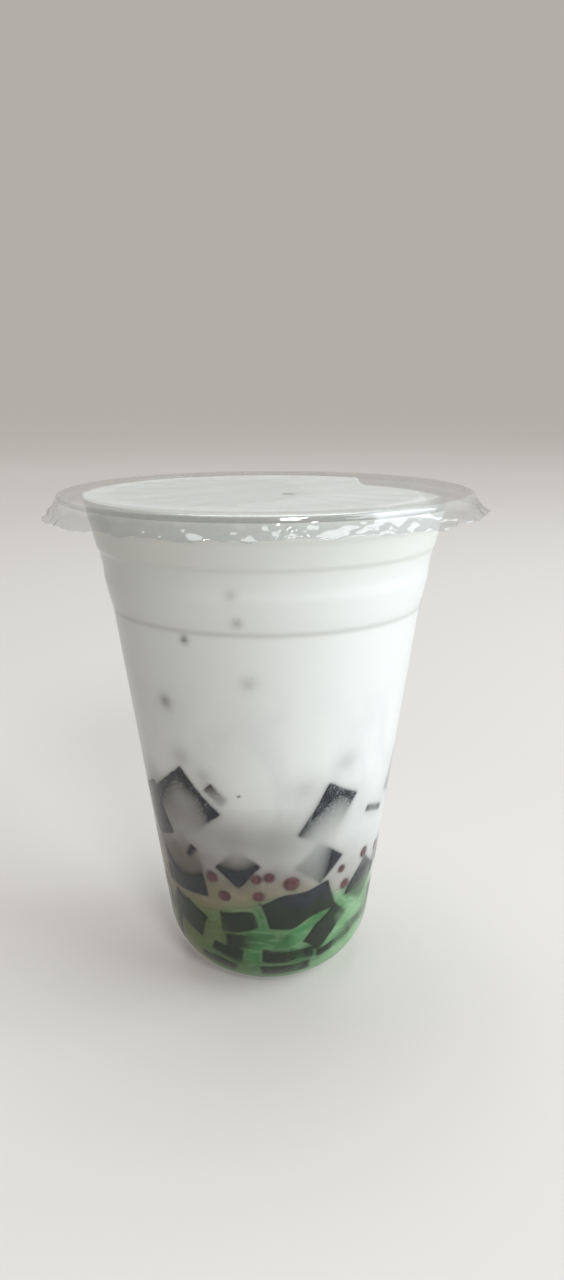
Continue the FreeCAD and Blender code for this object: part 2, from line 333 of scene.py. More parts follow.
# %% Cubes placed one by one
# direction, height, three sizes, turn in the plane of the wall, tip (top outwards), lean (right
# side outwards), and how far the nearest corner is pressed past the skin
FRONT_CUBES = [
    (-42, 50.5, 16.5, 14, 8.5, 40, 6, 3, 0.15),  # the big one high on the left
    (-62.5, 45.5, 8.5, 13, 8.5, 25, 0, 0, 0.25),  # its neighbour at the left edge
    (-22, 55.5, 5.5, 2.5, 4.5, -45, 8, -10, -0.1),  # a sliver beside them
    (26, 50, 14, 9, 8.5, 62, 12, 8, 0.9),  # the long one high on the right
    (56.5, 46, 7.5, 1.5, 4.5, -20, 0, 0, -0.35),  # a thin streak at the right
    (-39, 38.5, 3.5, 2, 2.5, 60, 33, 0, 0.25),  # a small corner
    (-47, 32, 13.5, 12, 7.5, 3, -12, -2, 0.75),  # three in a row where the pearls are
    (-14.5, 36, 8, 7, 5.5, 50, -9, -9, 0.75),
    (25.5, 36.5, 8.5, 8.5, 8.5, -40, 3, 11, 0.25),
    (-47, 19.5, 11, 7.5, 7.5, -22, -2, 5, 0.9),  # the left one of four in the syrup
    (-15.5, 22, 8.5, 5, 7.5, 8, 0, 4, 0.5),
    (15, 25.5, 16.5, 8, 7.5, 15, 6, -3, 1.2),
    (31, 18.5, 11.5, 5.5, 7.5, 48, 3, 2, 0.3),
    (56, 27.5, 10, 9, 7.5, 55, 0, 3, -0.25),
    (-7, 16, 15, 5, 5.5, 0, 5, -8, -0.5),  # the low ones round the heel
    (37.5, 12.5, 9.5, 2.5, 5.5, 18, 3, -5, 0.2),
    (10.5, 12, 11, 3.5, 7.5, 0, 1, -2, 0.3),
    (9.5, 7, 11, 4.5, 8.5, 5, 8, 1, 0.3),
    (-23.5, 11.5, 7, 3.5, 7.5, -20, -9, 10, 0.75),
    (-32, 8, 9, 3, 9.5, -15, 6, 0, 0.45),
    (57, 15.5, 10, 3, 5.5, 10, 0, 0, -0.85),
    (-60, 14, 8, 2.5, 5.5, 80, 1, 0, 0.35),
]
print(len(FRONT_CUBES), "cubes are placed by hand")

# %% Cubes placed by chance
SPAN = math.radians(28)  # mm round the wall for each degree, where the jelly lies
BACK_CUBES, BACK_PEARLS, TRIES = 34, 24, 12  # how many at the sides and back, tries for each
SHEET = 8.0  # thickness of the sheet of jelly that the cubes are cut from


def scattered(count, taken, draw, dice):
    """Places as many things as it can, up to count, at random round the sides and back. draw
    gives a thing as (direction, height, reach, and the rest). A thing is dropped where it and
    one already there are nearer than four fifths of their two reaches."""
    placed = []
    for _ in range(count * TRIES):
        thing = draw(dice)
        apart = [math.hypot((thing[0] - other[0]) * SPAN, thing[1] - other[1])
                 > 0.8 * (thing[2] + other[2]) for other in taken + placed]
        if all(apart):
            placed.append(thing)
        if len(placed) == count:
            break
    return placed


def room(length, width):
    """How far a cube reaches round its centre, more or less: 0.8 of half its diagonal."""
    return math.hypot(length, width) / 2 * 0.8


def any_cube(dice):
    """direction, height, reach, then the sizes and angles of a cube of any place and pose. The
    power makes low places likelier."""
    length, width = dice.uniform(8, 15), dice.uniform(5, 11)
    height = 6 + 49 * dice.random() ** 1.3
    pose = (*dice.uniform(-90, 90, 1), *dice.normal(0, 7, 2), dice.uniform(-0.5, 0.9))
    return dice.uniform(72, 288), height, room(length, width), length, width, SHEET, *pose


dice = np.random.default_rng(11)
front = [(c[0] % 360, c[1], room(*c[2:4])) for c in FRONT_CUBES]
back_cubes = scattered(BACK_CUBES, front, any_cube, dice)
ALL_CUBES = FRONT_CUBES + [(c[0], c[1], *c[3:]) for c in back_cubes]
print(len(back_cubes), "more cubes are placed by chance")

# %% Frames of the cubes
ROUND = 0.7  # radius of a cube's worn edges
CUT, BENT = 0.12, 0.38  # mm that a face strays from flat, and what the weight above adds
CROWDED = 36  # height below which the cubes carry the weight of others


def turning(axis, degrees):
    """Matrices that turn by each angle about the first, second or third axis."""
    angle = np.radians(np.asarray(degrees, float))
    one, two = [k for k in range(3) if k != axis]
    matrix = np.zeros(angle.shape + (3, 3))
    matrix[..., axis, axis] = 1
    matrix[..., one, one] = matrix[..., two, two] = np.cos(angle)
    matrix[..., two, one], matrix[..., one, two] = np.sin(angle), -np.sin(angle)
    return matrix


def framed(cubes):
    """Centres, axes (as columns) and half sizes of cubes that lie against the skin. The nearest
    corner is pressed past it: the centre is that far in, less the press, from the place."""
    given = np.array(cubes, float)
    point, outward, sideways, upward = on_skin(np.radians(given[:, 0]), walked_to(given[:, 1]))
    wall = np.stack([sideways, upward, outward], -1)
    own = turning(2, given[:, 5]) @ turning(0, given[:, 6]) @ turning(1, given[:, 7])
    half = given[:, 2:5] / 2
    depth = (np.abs(own[:, 2]) * (half - ROUND)).sum(-1) + ROUND - given[:, 8]
    return point - depth[:, None] * outward, wall @ own, half


def hand_cut(points):
    """Places shifted a little, so that a flat cube tested at them has gently uneven faces. The
    lower ones are bent by the weight of those above."""
    stray = CUT + BENT * eased(CROWDED - points[..., 2], 0, 10)
    return points + stray[..., None] * np.stack([swirl(points, 10, k) for k in (21, 22, 23)], -1)


def outside_by(points, centre, axes, half):
    """Distance of points from one cube with rounded edges, below zero inside it: the distance
    from its core, a smaller box, less the radius of the edges."""
    over = np.abs((points - centre) @ axes) - (half - ROUND)
    beyond = np.linalg.norm(np.maximum(over, 0), axis=-1)
    return beyond + np.minimum(over.max(-1), 0) - ROUND


def seen_at(points, heading, centre, axes, half):
    """How far a look from each point along its heading goes before it meets one cube: the
    latest entry through the cube's three pairs of faces, if that comes before the first exit."""
    start = (points - centre) @ axes
    pace = heading @ axes
    pace = np.where(np.abs(pace) < 1e-9, 1e-9, pace)
    one, two = (-half - start) / pace, (half - start) / pace
    enter, leave = np.minimum(one, two).max(-1), np.maximum(one, two).min(-1)
    return np.where((leave > 0) & (enter <= leave), np.maximum(enter, 0), np.inf)


cubes = framed(ALL_CUBES)
print(f"the cubes' centres lie from {cubes[0][:, 2].min():.1f} to {cubes[0][:, 2].max():.1f} high")

# %% Pearls
# direction, height, radius and press past the skin
FRONT_PEARLS = [
    (-28, 33.0, 1.6, 0.75), (-22, 28.4, 1.6, 0.7), (-6, 33.9, 1.45, 0.5), (0, 34.4, 1.5, 0.5),
    (10.5, 32.4, 2.0, 0.9), (-5, 29.2, 1.45, 0.6), (53, 34.8, 1.5, 0.6), (68, 33.3, 1.5, 0.6),
    (40.5, 28.6, 1.5, 0.55), (-66, 27.8, 1.5, 0.6), (-68, 21.6, 1.5, 0.6), (37, 33.4, 1.1, 0.35),
]
# direction, height, radius and press of crumbs of jelly that float higher up in the milk, and
# of the larger lumps that lie too far in to be made out and only darken it
CRUMBS = [
    (-28.5, 91.5, 0.9, -0.3), (-9.5, 96, 0.9, -0.7), (-11, 102, 0.8, -0.9), (-41, 76, 2, -0.7),
    (-6.5, 82.5, 1.5, -1.2), (-4.5, 27, 0.3, 0.1), (33, 26.5, 0.3, 0.1), (-12, 55.5, 0.3, -0.1),
    (-37, 63, 3, -1.5), (-27, 59.5, 2, -1.4), (33, 62, 2.5, -1.6), (15, 57, 2.5, -1.8),
    (-15, 43.5, 13, -1.5), (3, 43, 15, -1.25),
    (104, 88, 0.9, -0.3), (147, 70, 1.2, -0.4), (171, 97, 0.6, -0.1),
    (213, 81, 1.0, -0.3), (251, 66, 0.8, -0.2), (268, 99, 0.7, -0.4),
]


def any_pearl(dice):
    """direction, height, reach, then the radius and press of a pearl of any place."""
    radius = dice.uniform(1.3, 1.9)
    return dice.uniform(75, 285), dice.uniform(20, 37), radius, radius, 0.4 * radius


taken = [(p[0] % 360, *p[1:3]) for p in FRONT_PEARLS] + front + [c[:3] for c in back_cubes]
back_pearls = scattered(BACK_PEARLS, taken, any_pearl, dice)
ALL_PEARLS = FRONT_PEARLS + [(p[0], p[1], *p[3:]) for p in back_pearls]


def balls(pearls):
    """Centres and radii of pearls that lie against the skin, pressed a little past it."""
    direction, height, radius, press = np.array(pearls, float).T
    point, outward, _, _ = on_skin(np.radians(direction), walked_to(height))
    return point - (radius - press)[:, None] * outward, radius


pearls, crumbs = balls(ALL_PEARLS), balls(CRUMBS)
print(len(FRONT_PEARLS), "pearls placed by hand,", len(back_pearls), "by chance")

# %% [markdown]
# ## Seeing into milk
# A thing in milk is plain where it touches the cup and gone a few mm behind it. A shader for
# volumes could show that, but slowly and with noise, and an exported model would lose it. So it
# is worked out once, here. From each place of the skin a few looks go in, spread as the milk
# spreads them, and each finds how far it goes before it meets a cube or a pearl. The shorter
# the way, the plainer the thing shows. The results are kept as numbers on the skin.

# %% The way to a ball

def ball_seen_at(points, heading, centre, radius):
    """How far a look from each point along its heading goes before it meets one ball."""
    start = points - centre
    toward = -(start * heading).sum(-1)
    miss = (start ** 2).sum(-1) - toward ** 2
    half = np.sqrt(np.maximum(radius ** 2 - miss, 0))
    met = (miss < radius ** 2) & (toward + half > 0)
    return np.where(met, np.maximum(toward - half, 0), np.inf)


ahead = ball_seen_at(np.zeros((1, 3)), np.array([0, 0, 1.0]), np.array([0, 0, 5.0]), 1)
print("a ball of radius 1 whose centre is 5 away is met after", ahead[0])

# %% Looks into the drink
CONE = 0.4  # how widely milk spreads a look, as a share of the way that it goes in


def looks_in(outward, sideways, upward):
    """Thirteen headings into the drink at each point: straight in, and twelve round it that
    lean out by CONE and by twice as much in turn. They part as they go in, so what lies deep
    is blurred more than what touches the wall."""
    yield -outward
    for step in range(12):
        wide, angle = CONE * (1 + step % 2), step * math.pi / 6
        heading = wide * (math.cos(angle) * sideways + math.sin(angle) * upward) - outward
        yield heading / math.hypot(1, wide)


print(len(list(looks_in(*np.eye(3)))), "looks go in from each place of the skin")

# %% What the skin shows
MILK_CLEAR, SYRUP_CLEAR = 0.55, 1.0  # mm of milk or syrup that let a third of the look through
DEEP = 4.5  # how much farther in a thing still darkens the milk than it can be made out
LIT_AT, LIT_WIDE = 0.55, 0.3  # mm outside a cube where its outline is lit, and half the width
CUBE_NEAR, BALL_NEAR = 8, 4  # mm beyond a cube or a ball at which it can still be seen


def through_the_wall(point, outward, sideways, upward, clear, cubes, pearls, crumbs):
    """Four numbers from 0 to 1 for each point of the skin: how plainly a cube shows, how
    plainly a pearl shows, how dark the deeper jelly makes the milk, and how near the point is
    to the outline of a cube, where light gathers. The first three are averages over the looks
    in of exp(-d / clear), d being the way to the nearest thing, with clear DEEP times longer
    for the third. Things too far off to change them are passed over."""
    looks = list(looks_in(outward, sideways, upward))
    to_cube = np.full((len(looks), len(point)), np.inf)
    to_pearl, lit = to_cube.copy(), np.zeros(len(point))
    uneven = hand_cut(point)
    for centre, axes, half in zip(*cubes):
        near = np.linalg.norm(point - centre, axis=-1) < np.linalg.norm(half) + CUBE_NEAR
        beside = (outside_by(uneven[near], centre, axes, half) - LIT_AT) / LIT_WIDE
        lit[near] = np.maximum(lit[near], np.exp(-beside ** 2))
        for way, look in zip(to_cube, looks):
            met = seen_at(uneven[near], look[near], centre, axes, half)
            way[near] = np.minimum(way[near], met)
    for ways, round_things in ((to_pearl, pearls), (to_cube, crumbs)):
        for centre, radius in zip(*round_things):
            near = np.linalg.norm(point - centre, axis=-1) < radius + BALL_NEAR
            for way, look in zip(ways, looks):
                met = ball_seen_at(point[near], look[near], centre, radius)
                way[near] = np.minimum(way[near], met)
    cube_first = to_cube <= to_pearl
    return (
        (np.exp(-to_cube / clear) * cube_first).mean(0),
        (np.exp(-to_pearl / clear) * ~cube_first).mean(0),
        np.exp(-np.minimum(to_cube, to_pearl) / (clear * DEEP)).mean(0),
        lit,
    )


print(f"milk hides nine tenths of what lies {-MILK_CLEAR * math.log(0.1):.1f} mm in")

# %% [markdown]
# ## Milk over syrup
# The green syrup is heavier than the milk and fills the rounded base, but it was poured first
# and stirred by the falling jelly, so its top is not level at the wall. Above it the milk is
# murky with what the jelly gave off, and clears to white further up. The murk is also painted
# shade, heavier at the left, and painted light grows towards the right, as from a window there.
# Each of these is a smooth function of the place, with a little unevenness made from a few long
# waves.

# %% The layers
SYRUP_LEVEL = (SYRUP_HIGH + SYRUP_LOW) / 2
SYRUP_RISE = (SYRUP_HIGH - SYRUP_LOW) / 2  # how much higher it stands at the right
FRONT_RISE = 2.2  # and at the front


def syrup_edge(direction):
    """Height of the syrup's top along the wall: a rise to the right, a rise to the front and
    two small waves."""
    waves = 0.8 * np.sin(3 * direction + 0.6) + 0.5 * np.sin(7 * direction + 2.0)
    rise = SYRUP_RISE * np.sin(direction) + FRONT_RISE * np.cos(direction)
    return SYRUP_LEVEL + rise + waves


def layers(point, direction):
    """How green, how murky and shaded, and how much painted light there is at each point of the
    drink's skin. Green eases in over a few mm below the syrup's edge. Murk grows from 60 mm down,
    and faster from 40 mm down where the jelly crowds, and is painted heavier at the left as
    shade. The painted light grows from the left to the right."""
    height = point[..., 2]
    ragged = 1.3 * swirl(point, 14, 1)
    green = eased(syrup_edge(direction) - height + ragged, -2.2, 2.6)
    side = np.sin(direction - 0.15)
    low = height - 3 * swirl(point, 22, 2)
    # painted shade: the factor (0.95 - 0.6 side) makes the murk heavier at the left
    murk = (0.4 * eased(60 - low, 0, 16) + 0.6 * eased(41 - low, 0, 12)) * (0.95 - 0.6 * side)
    # painted light: the drink is painted lighter towards the right, as if a window lit it there
    bright = np.clip(0.5 + 0.5 * side + 0.12 * swirl(point, 12, 3), 0, 1)
    return green, np.clip(murk, 0, 1), bright


print(f"the syrup stands {SYRUP_LEVEL:.1f} high, and {SYRUP_RISE:.1f} more or less at the sides")

# %% [markdown]
# ## The milk and the syrup
# Both are closed solids that share the wall's shape. Their skins are fine grids, because the
# numbers that tell what shows through the wall are kept at the grid's points. The rows beside
# the syrup's uneven edge follow it and straighten out again farther off, so that the rings and
# the shoulder of the cup still fall on rows of their own.

# %% The skins
COLUMNS = 450
FINE, COARSE, HIDDEN = 0.4, 0.95, 1.1  # mm between rows: by the jelly, above it, underneath
directions = np.arange(COLUMNS) * 2 * math.pi / COLUMNS


def skin_rows(low, high):
    """Distances walked up the skin between two heights: FINE apart up to 60 mm, where the
    jelly ends, COARSE above, and HIDDEN under the base, which nobody sees."""
    start, stop = walked_to(low) if low else 0.0, walked_to(high)
    piece = (skin_walked >= start) & (skin_walked <= stop)
    height = skin_line[piece, 1]
    far = FINE + (COARSE - FINE) * eased(height, 60, 66)
    far = np.where(height < RECESS_DEPTH, HIDDEN, far) if low == 0 else far
    return start + paced(skin_line[piece], far, 0.2)


def note_rows(piece, rows, points, numbers):
    """Notes each named number on the rows of the skin, and 0 on the rows that the drink hides."""
    for name, values in numbers.items():
        grid = np.zeros(points.shape[:2])
        grid[rows] = values.reshape(-1, COLUMNS)
        note(piece, name, np.concatenate([grid[1:-1].ravel(), grid[0, :1], grid[-1, :1]]))


def skin_numbers(direction, walked):
    """All that the material needs to know at each place of the skin, by name."""
    place = [part.reshape(-1, 3) for part in on_skin(direction, walked)]
    green, murk, bright = layers(place[0], direction.ravel())
    clear = MILK_CLEAR + (SYRUP_CLEAR - MILK_CLEAR) * green
    jelly, pearl, deep, lit = through_the_wall(*place, clear, cubes, pearls, crumbs)
    return {"green": green, "murk": murk, "bright": bright, "jelly": jelly, "pearl": pearl,
            "deep": deep, "lit": lit}


def shrunk(ring, centre, shares):
    """Rings between a ring and a point: centre + share (ring - centre)."""
    return centre + np.asarray(shares)[:, None, None] * (ring - centre)


print(f"columns {2 * math.pi * WAIST / COLUMNS:.2f} apart at the waist, rows {FINE} to {COARSE}")

# %% [markdown]
# ## The milk's top
# The cup is filled nearly to the brim, so the milk wets the film almost everywhere. It climbs
# the wall a little, and at the right the last of the air has gathered in a shallow pocket. The
# top is made of rings that shrink to the middle, and their heights are one function of the
# place: a sum of a climb, a few swells and the pocket is easier to alter than a modelled shape.

# %% The milk's top
MENISCUS, CLIMB = 0.9, 0.3  # how far in from the wall, and how high, the milk climbs it
POCKET, POCKET_FROM, POCKET_TO = 1.8, 22, 150  # depth in mm, and directions, of the air
BAY, BAY_AT = 8, 118  # how much farther in the air reaches, and in which direction


def air_pocket(points):
    """How far below the film the milk lies: nothing where it wets the film, and POCKET where
    the air has gathered, outside a line that comes in from the wall at the back right. At 45
    mm that line is outside the cup, so there is no air where ends is 0."""
    direction = np.degrees(np.arctan2(points[..., 0], -points[..., 1])) % 360
    ends = (eased(direction, POCKET_FROM, POCKET_FROM + 18)
            * eased(-direction, -POCKET_TO, 16 - POCKET_TO))
    border = 45 - (8.5 + BAY * np.exp(-((direction - BAY_AT) / 14) ** 2)) * ends
    return POCKET * eased(np.hypot(points[..., 0], points[..., 1]), border - 1, border + 1)


def milk_top(ring):
    """Rings from the fill line in to the middle. The height is the fill line less
    CLIMB (1 - exp(-inward / MENISCUS)), with low swells, and less the depth of the air."""
    shares = np.concatenate([1 - np.array([0.15, 0.35, 0.6, 1.0, 1.5, 2.2, 3.2]) / 40,
                             np.linspace(0.9, 0.6, 20), np.linspace(0.56, 0, 12)])
    grid = shrunk(ring, np.array([0, 0, FILL_HEIGHT]), shares)
    inward = np.hypot(*ring[0, :2]) - np.hypot(grid[..., 0], grid[..., 1])
    grid[..., 2] = FILL_HEIGHT - CLIMB * (1 - np.exp(-inward / MENISCUS))
    grid[..., 2] += 0.12 * swirl(grid, 16, 4) * eased(inward, 0, 6) - air_pocket(grid)
    return grid


print(f"the air is {POCKET} deep and lies from {POCKET_FROM} to {POCKET_TO} degrees")

# %% Rows of both skins
SETTLE_UP, SETTLE_DOWN, SETTLE_TOP = 20, 14, 6  # mm in which rows straighten out again
edge = walked_to(syrup_edge(directions))
mean_height = float(np.mean(syrup_edge(directions)))
mean_edge = walked_to(mean_height)

rows = skin_rows(mean_height, FILL_HEIGHT)
near_edge = np.clip(1 - (rows - mean_edge) / SETTLE_UP, 0, 1)
milk_walk = rows[:, None] + near_edge[:, None] * (edge - mean_edge)
near_top = np.clip((rows - rows[-1]) / SETTLE_TOP + 1, 0, 1)
at_the_wall = turned(skin_line[-1:], COLUMNS)[0]
milk_walk -= near_top[:, None] * air_pocket(at_the_wall)
milk_side = on_skin(directions + 0 * milk_walk, milk_walk)[0]

base_rows = skin_rows(0, mean_height)[1:]
near_edge = np.clip(1 - (mean_edge - base_rows) / SETTLE_DOWN, 0, 1)
green_walk = base_rows[:, None] + near_edge[:, None] * (edge - mean_edge)
green_side = on_skin(directions + 0 * green_walk, green_walk)[0]
print("rows:", len(rows), "of milk,", len(base_rows), "of syrup")

# %% The milk's solid
middle = np.array([0, 0, SYRUP_LEVEL])  # where the milk's underside and the syrup's top close
top = milk_top(milk_side[-1])
under = shrunk(milk_side[0], middle, np.linspace(0, 1, 6)[:-1])
milk_grid = np.concatenate([under, milk_side, top])
milk = put("milk_drink", *capped(milk_grid))
note_rows(milk, slice(len(under), len(under) + len(rows)), milk_grid,
          skin_numbers(directions + 0 * milk_walk, milk_walk))

# %% The syrup
bottom = np.repeat(np.array([[[0, 0, RECESS_DEPTH + SKIN_INSET]]]), COLUMNS, 1)
over = shrunk(green_side[-1], middle, np.linspace(1, 0, 6)[1:])
green_grid = np.concatenate([bottom, green_side, over])
syrup = put("syrup_layer", *capped(green_grid))
note_rows(syrup, slice(1, 1 + len(base_rows)), green_grid,
          skin_numbers(directions + 0 * green_walk, green_walk))

# %% [markdown]
# ## Jelly pressed against the wall
# Where a cube is pressed against the wall its face is flat on the plastic and has a crisp edge,
# which the skin's grid is too coarse to draw. So each pressed face is a thin slab of its own. It
# is a patch of the skin whose border points are slid on to the cube's edge, along the slope of
# the distance to the cube. Behind it lies the rest of the cube, held back from the wall.

# %% Patches of skin
PATCH = 0.5  # mm between points of a pressed face


def nearest(centre):
    """Index of the place on the skin's line that lies nearest to a centre."""
    return np.argmin(np.hypot(*(skin_line - (math.hypot(*centre[:2]), centre[2])).T))


def patch_on(centre, axes, half):
    """Directions and distances walked of a patch of skin round one cube. Three times, each
    point within a cell of the cube's edge slides on to it, by depth / slope against the slope
    of the depth, so that the patch gets a crisp border there."""
    radius = max(math.hypot(*centre[:2]), 6.0)
    count = int((np.linalg.norm(half) + 1) / PATCH)
    steps = np.arange(-count, count + 1) * PATCH
    direction, walked = np.meshgrid(math.atan2(centre[0], -centre[1]) + steps / radius,
                                    skin_walked[nearest(centre)] + steps, indexing="ij")
    walked = np.clip(walked, 0.5, skin_walked[-1])
    for _ in range(3):
        depth = outside_by(hand_cut(on_skin(direction, walked)[0]), centre, axes, half)
        across, upward = np.gradient(depth, PATCH)
        steep = np.maximum(across ** 2 + upward ** 2, 0.05)
        slide = np.where(np.abs(depth) < 0.62 * PATCH * np.sqrt(steep), depth / steep, 0)
        direction, walked = direction - slide * across / radius, walked - slide * upward
    return direction, walked


def cells_in(kept):
    """Corner numbers of the cells of a patch whose corners are all kept, and of the triangles
    that are left of those with one corner missing."""
    number = np.arange(kept.size).reshape(kept.shape)
    cells = np.stack([number[:-1, :-1], number[1:, :-1], number[1:, 1:], number[:-1, 1:]], -1)
    inside = kept.ravel()[cells]
    partly = inside.sum(-1) == 3
    return cells[inside.all(-1)], cells[partly][inside[partly]].reshape(-1, 3)


def border(triangles):
    """The sides that only one of the triangles has, as pairs of corner numbers."""
    sides = np.concatenate([triangles[:, [0, 1]], triangles[:, [1, 2]], triangles[:, [2, 0]]])
    there = set(map(tuple, sides.tolist()))
    return np.array([side for side in there if side[::-1] not in there])


print("the patch of the first cube has", patch_on(*(part[0] for part in cubes))[0].size, "points")

# %% Pressed faces
PROUD, SLAB = 0.05, 0.3  # how far a pressed face stands out of the skin, and its thickness
TOUCH, FEWEST = 0.03, 4  # mm from a cube that still count as in it, and the least cells


def pressed_face(centre, axes, half):
    """Points and faces of one cube's pressed face, a slab of the part of its patch that lies
    in the cube, or None where there is next to nothing of it."""
    direction, walked = patch_on(centre, axes, half)
    kept = outside_by(hand_cut(on_skin(direction, walked)[0]), centre, axes, half) < TOUCH
    whole, three = cells_in(kept)
    if len(whole) < FEWEST:
        return None
    outer = np.concatenate([whole[:, [0, 1, 2]], whole[:, [0, 2, 3]], three])
    rim, used = border(outer), np.unique(outer)
    place = np.full(kept.size, -1)
    place[used] = np.arange(len(used))
    outer, rim, shift = place[outer], place[rim], len(used)
    sheets = [on_skin(direction.ravel()[used], walked.ravel()[used], proud)[0]
              for proud in (PROUD, PROUD - SLAB)]
    side = np.stack([rim[:, 1], rim[:, 0], rim[:, 0] + shift, rim[:, 1] + shift], 1)
    return np.concatenate(sheets), [outer, outer[:, ::-1] + shift, side]


faces_made = [pressed_face(*cube) for cube in zip(*cubes)]
print(sum(made is not None for made in faces_made), "cubes are pressed flat against the wall")

# %% Bodies of the cubes
HELD_BACK = 0.2  # mm between the skin and the rest of a cube
CELLS = 6  # along each edge of a cube


def held_back(points):
    """Points moved in, across the wall, until each is at least HELD_BACK behind the skin."""
    place = np.stack([np.hypot(points[:, 0], points[:, 1]), points[:, 2]], 1)
    thin = slice(None, None, 4)  # every fourth point of the line is near enough
    nearest = np.argmin(((place[:, None] - skin_line[thin]) ** 2).sum(-1), 1)
    out = np.stack([along[thin][nearest, 1], -along[thin][nearest, 0]], 1)
    over = ((place - skin_line[thin][nearest]) * out).sum(1) + HELD_BACK
    moved = place - np.maximum(over, 0)[:, None] * out
    share = moved[:, 0] / np.maximum(place[:, 0], 1e-6)
    return np.stack([points[:, 0] * share, points[:, 1] * share, moved[:, 1]], 1)


def cube_body(centre, axes, half):
    """Points and faces of a cube with rounded edges: a grid on each of its six sides, closer
    near the edges, each point drawn from its core, a smaller box, to the edges' radius."""
    t = np.tanh(np.linspace(-1.4, 1.4, CELLS + 1)) / math.tanh(1.4)
    u, v = (side.ravel() for side in np.meshgrid(t, t, indexing="ij"))
    sheets, faces = [], []
    row, column = np.meshgrid(np.arange(CELLS), np.arange(CELLS), indexing="ij")
    start = (row * (CELLS + 1) + column).ravel()
    quad = np.stack([start, start + CELLS + 1, start + CELLS + 2, start + 1], 1)
    for axis in range(3):
        for side in (-1, 1):
            sheet = np.insert(np.stack([u, v], 1), axis, side, axis=1)
            outward = quad if (side > 0) == (axis != 1) else quad[:, ::-1]
            faces.append(outward + len(sheets) * len(u))
            sheets.append(sheet)
    unit = np.concatenate(sheets)
    core = np.clip(unit * half, ROUND - half, half - ROUND)
    away = unit * half - core
    away *= ROUND / np.maximum(np.linalg.norm(away, axis=1), 1e-9)[:, None]
    _, first, again = np.unique(np.round(unit, 6), axis=0, return_index=True, return_inverse=True)
    again = again.ravel()
    flat = (core + away)[first] @ axes.T + centre
    return held_back(2 * flat - hand_cut(flat)), [again[np.concatenate(faces)]]


def joined(parts):
    """One set of points and faces from many: each part's corner numbers move up by the points
    before it."""
    points, faces, before = [], [], 0
    for some, theirs in parts:
        points.append(some)
        faces += [f + before for f in theirs]
        before += len(some)
    return np.concatenate(points), faces


bodies = [cube_body(*cube) for cube in zip(*cubes)]
parts = [made for pair in zip(faces_made, bodies) for made in pair if made]
jelly = put("jelly_cubes", *joined(parts))

# %% [markdown]
# ## Pearls
# The pearls are balls of cooked starch, soft enough to flatten where they touch the wall. Each
# is a grid of circles round its outward axis, with one circle exactly where it meets the skin.

# %% The pearls
PEARL_COLUMNS = 20


def pearl_body(centre, radius):
    """A ball turned round its outward axis: circles at angles that start at 0, step to where
    the ball meets the skin, and go on to the far side. What is past the skin is flattened."""
    direction, walked = math.atan2(centre[0], -centre[1]), skin_walked[nearest(centre)]
    point, outward, sideways, upward = on_skin(direction, walked)
    depth = float((point - centre) @ outward)
    meet = math.acos(min(depth / radius, 0.98))
    angle = np.concatenate([[0, 0.5 * meet, meet], np.linspace(meet, math.pi, 9)[1:]])
    a = np.arange(PEARL_COLUMNS) * 2 * math.pi / PEARL_COLUMNS
    ring = np.cos(a)[:, None] * sideways + np.sin(a)[:, None] * upward
    reach = np.minimum(radius * np.cos(angle), depth + PROUD)
    grid = centre + (radius * np.sin(angle))[:, None, None] * ring
    grid = grid + reach[:, None, None] * outward
    return capped(grid)


pearl_piece = put("red_pearls", *joined([pearl_body(*pearl) for pearl in zip(*pearls)]))

# %% [markdown]
# ## The cup
# The cup's wall is a closed shell: up the outside, under the flange, round the rolled lip, back
# over the flange and down the inside.

# %% The cup
CUP_COLUMNS = 288


def lip():
    """The flange's underside, the rolled lip and the flange's top, as one line. The roll is so
    tight that it closes on itself, so it is an arc from where the underside meets it."""
    centre = (RIM_RADIUS - BEAD, CUP_HEIGHT - BEAD)
    first = -math.pi - math.asin((BEAD - WALL) / BEAD)  # on the inner side, at the underside
    wall_at = wall_corners(0, CUP_HEIGHT - WALL)[-1]
    inside_at = wall_corners(WALL, CUP_HEIGHT)[-1]
    meets = (centre[0] + BEAD * math.cos(first), CUP_HEIGHT - WALL)
    return np.concatenate([run(wall_at, meets),
                           bow(centre, BEAD, first, math.pi / 2),
                           run((centre[0], CUP_HEIGHT), inside_at)])


outer = softened(np.concatenate([wall_line(0, CUP_HEIGHT - WALL), lip()]), 0.25)
inner = softened(wall_line(WALL, CUP_HEIGHT), 0.25)[::-1]
section = np.concatenate([outer, inner])
section[:, 0] = np.maximum(section[:, 0], 0)
section = picked(section, paced(section, 1.6, 0.17))
cup = put("clear_cup", *capped(turned(section, CUP_COLUMNS)))

# %% [markdown]
# ## The film
# The film is a thin disc welded to the flange by a hot ring, drawn tight as it cools, with its
# cut edge left hanging over the lip. Over the cup it is nearly flat, with faint ripples pulled
# in from the weld. The hanging part was scrunched by hands and keeps sharp creases, so its
# waves are triangles rather than sines: the slope is even between creases and breaks at each.

# %% Creases and the cut edge
def folded(phase):
    """A wave of straight slopes between sharp creases, from -1 to 1, of period 1."""
    return 4 * np.abs(phase - np.floor(phase + 0.5)) - 1


def creases(direction, hang):
    """Sideways crumple of the skirt, in mm: triangle waves that run down it and slantwise,
    each bent a little by a slow wave so that none repeats, growing to the cut edge."""
    turn = direction / (2 * math.pi)
    bent = turn + 0.012 * np.sin(3 * direction + 1) + 0.006 * np.sin(11 * direction)
    waves = ((19, 0.3, 0.5, 0.1), (31, -0.9, 0.36, 0.7), (53, 1.4, 0.28, 0.35),
             (83, -2.3, 0.18, 0.9))
    total = sum(size * folded(count * bent + slant * hang + start)
                for count, slant, size, start in waves)
    return total * hang ** 0.8


